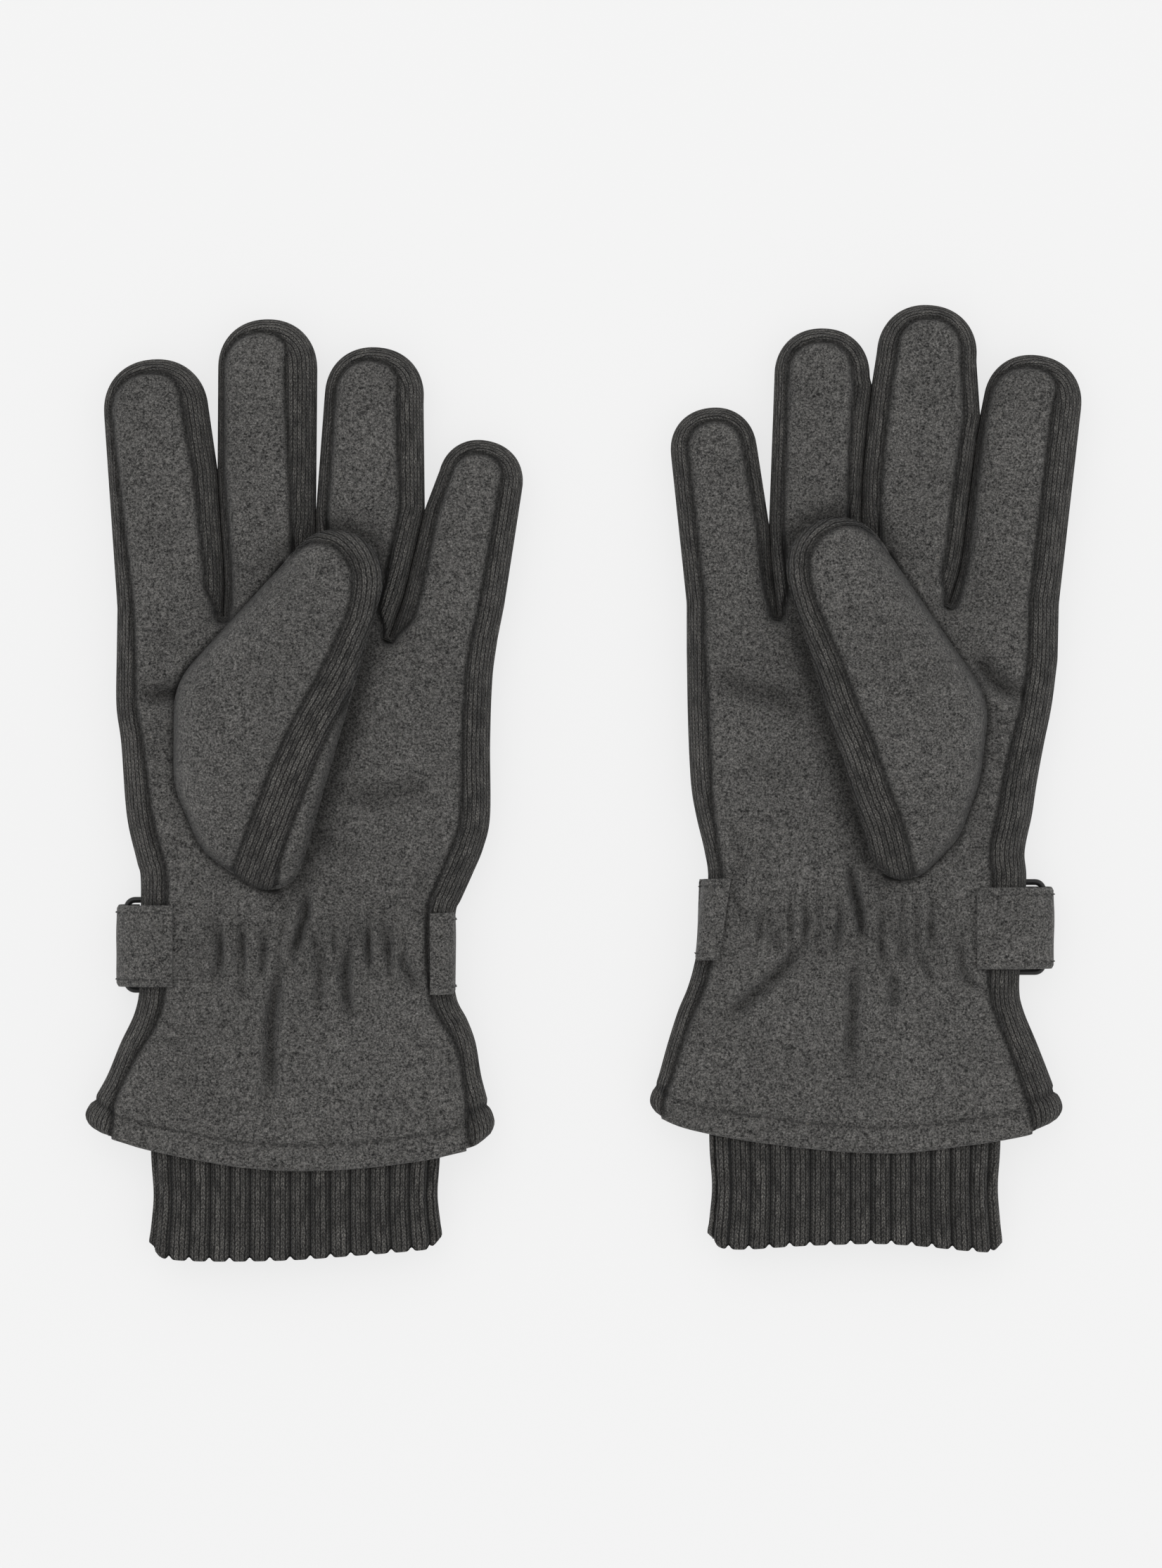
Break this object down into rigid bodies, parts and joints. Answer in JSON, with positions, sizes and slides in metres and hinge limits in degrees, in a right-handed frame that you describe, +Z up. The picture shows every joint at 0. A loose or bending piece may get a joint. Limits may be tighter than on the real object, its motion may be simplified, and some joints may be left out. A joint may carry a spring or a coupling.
{
  "type": "pair of knitted gloves",
  "caption": "Pair of lined winter gloves lying palm up: felt panels, knitted side strips, ribbed inner cuffs, bending fingers, folding thumbs and wrist straps with rings.",
  "frame": {"origin": "middle of the pair's footprint, on the surface that the gloves lie on", "axes": "+Z up out of the palms, +Y towards the fingertips, left glove at -X and right glove at +X"},
  "size_m": [0.3066, 0.2942, 0.032],
  "materials": {
    "felt": "matte milled wool felt, grey melange",
    "knit": "matte olive-grey stockinette knit",
    "rib_knit": "matte grey rib knit",
    "lining": "brushed dark grey jersey",
    "elastic": "flat woven elastic",
    "strap": "felt strap with hook and loop",
    "ring": "black moulded plastic"
  },
  "bodies": {
    "left_index": {"left_index_front_panel": "felt", "left_index_back_panel": "felt", "left_index_knit_strip": "knit", "left_index_lining": "lining"},
    "left_middle": {"left_middle_front_panel": "felt", "left_middle_back_panel": "felt", "left_middle_knit_strip": "knit", "left_middle_lining": "lining"},
    "left_ring": {"left_ring_front_panel": "felt", "left_ring_back_panel": "felt", "left_ring_knit_strip": "knit", "left_ring_lining": "lining"},
    "left_little": {"left_little_front_panel": "felt", "left_little_back_panel": "felt", "left_little_knit_strip": "knit", "left_little_lining": "lining"},
    "left_thumb": {"left_thumb_front_panel": "felt", "left_thumb_back_panel": "felt", "left_thumb_knit_strip": "knit", "left_thumb_lining": "lining"},
    "left_hand": {"left_palm_panel": "felt", "left_back_panel": "felt", "left_knit_side_strips": "knit", "left_hand_lining": "lining", "left_rib_cuff": "rib_knit", "left_wrist_elastic": "elastic", "left_wrist_strap": "strap", "left_ring_tab": "felt", "left_strap_ring": "ring"},
    "left_strap_end": {"left_strap_end": "strap"},
    "right_index": {"right_index_front_panel": "felt", "right_index_back_panel": "felt", "right_index_knit_strip": "knit", "right_index_lining": "lining"},
    "right_middle": {"right_middle_front_panel": "felt", "right_middle_back_panel": "felt", "right_middle_knit_strip": "knit", "right_middle_lining": "lining"},
    "right_ring": {"right_ring_front_panel": "felt", "right_ring_back_panel": "felt", "right_ring_knit_strip": "knit", "right_ring_lining": "lining"},
    "right_little": {"right_little_front_panel": "felt", "right_little_back_panel": "felt", "right_little_knit_strip": "knit", "right_little_lining": "lining"},
    "right_thumb": {"right_thumb_front_panel": "felt", "right_thumb_back_panel": "felt", "right_thumb_knit_strip": "knit", "right_thumb_lining": "lining"},
    "right_hand": {"right_palm_panel": "felt", "right_back_panel": "felt", "right_knit_side_strips": "knit", "right_hand_lining": "lining", "right_rib_cuff": "rib_knit", "right_wrist_elastic": "elastic", "right_wrist_strap": "strap", "right_ring_tab": "felt", "right_strap_ring": "ring"},
    "right_strap_end": {"right_strap_end": "strap"}
  },
  "joints": [
    {"name": "left_index_fold", "type": "hinge", "parent": "left_hand", "child": "left_index", "pos_m": [-0.12856, 0.08051, 0.009], "axis": [0.9968, 0.0805, 0], "range_deg": [0, 65]},
    {"name": "left_middle_fold", "type": "hinge", "parent": "left_hand", "child": "left_middle", "pos_m": [-0.09629, 0.08921, 0.009], "axis": [0.9998, 0.0184, 0], "range_deg": [0, 65]},
    {"name": "left_ring_fold", "type": "hinge", "parent": "left_hand", "child": "left_ring", "pos_m": [-0.06641, 0.08918, 0.009], "axis": [0.9973, -0.0741, 0], "range_deg": [0, 65]},
    {"name": "left_little_fold", "type": "hinge", "parent": "left_hand", "child": "left_little", "pos_m": [-0.03648, 0.07002, 0.009], "axis": [0.9773, -0.212, 0], "range_deg": [0, 65]},
    {"name": "left_thumb_seam", "type": "hinge", "parent": "left_hand", "child": "left_thumb", "pos_m": [-0.11891, -0.01652, 0.01825], "axis": [0.3934, -0.9194, 0], "range_deg": [0, 80]},
    {"name": "left_strap_peel", "type": "hinge", "parent": "left_hand", "child": "left_strap_end", "pos_m": [-0.12395, -0.05, 0.0003], "axis": [0, 1, 0], "range_deg": [0, 80]},
    {"name": "right_index_fold", "type": "hinge", "parent": "right_hand", "child": "right_index", "pos_m": [0.13365, 0.08403, 0.009], "axis": [0.99, -0.141, 0], "range_deg": [0, 65]},
    {"name": "right_middle_fold", "type": "hinge", "parent": "right_hand", "child": "right_middle", "pos_m": [0.10255, 0.09324, 0.009], "axis": [0.9965, -0.0839, 0], "range_deg": [0, 65]},
    {"name": "right_ring_fold", "type": "hinge", "parent": "right_hand", "child": "right_ring", "pos_m": [0.07365, 0.0929, 0.009], "axis": [1, 0.0015, 0], "range_deg": [0, 65]},
    {"name": "right_little_fold", "type": "hinge", "parent": "right_hand", "child": "right_little", "pos_m": [0.04401, 0.07475, 0.009], "axis": [0.9911, 0.1335, 0], "range_deg": [0, 65]},
    {"name": "right_thumb_seam", "type": "hinge", "parent": "right_hand", "child": "right_thumb", "pos_m": [0.11668, -0.01361, 0.01825], "axis": [0.3371, 0.9415, 0], "range_deg": [0, 80]},
    {"name": "right_strap_peel", "type": "hinge", "parent": "right_hand", "child": "right_strap_end", "pos_m": [0.12485, -0.0445, 0.0003], "axis": [0, -1, 0], "range_deg": [0, 80]},
    {"name": "right_glove_apart", "type": "slide", "parent": "left_hand", "child": "right_hand", "axis": [1, 0, 0], "range_m": [0, 0.1]}
  ]
}
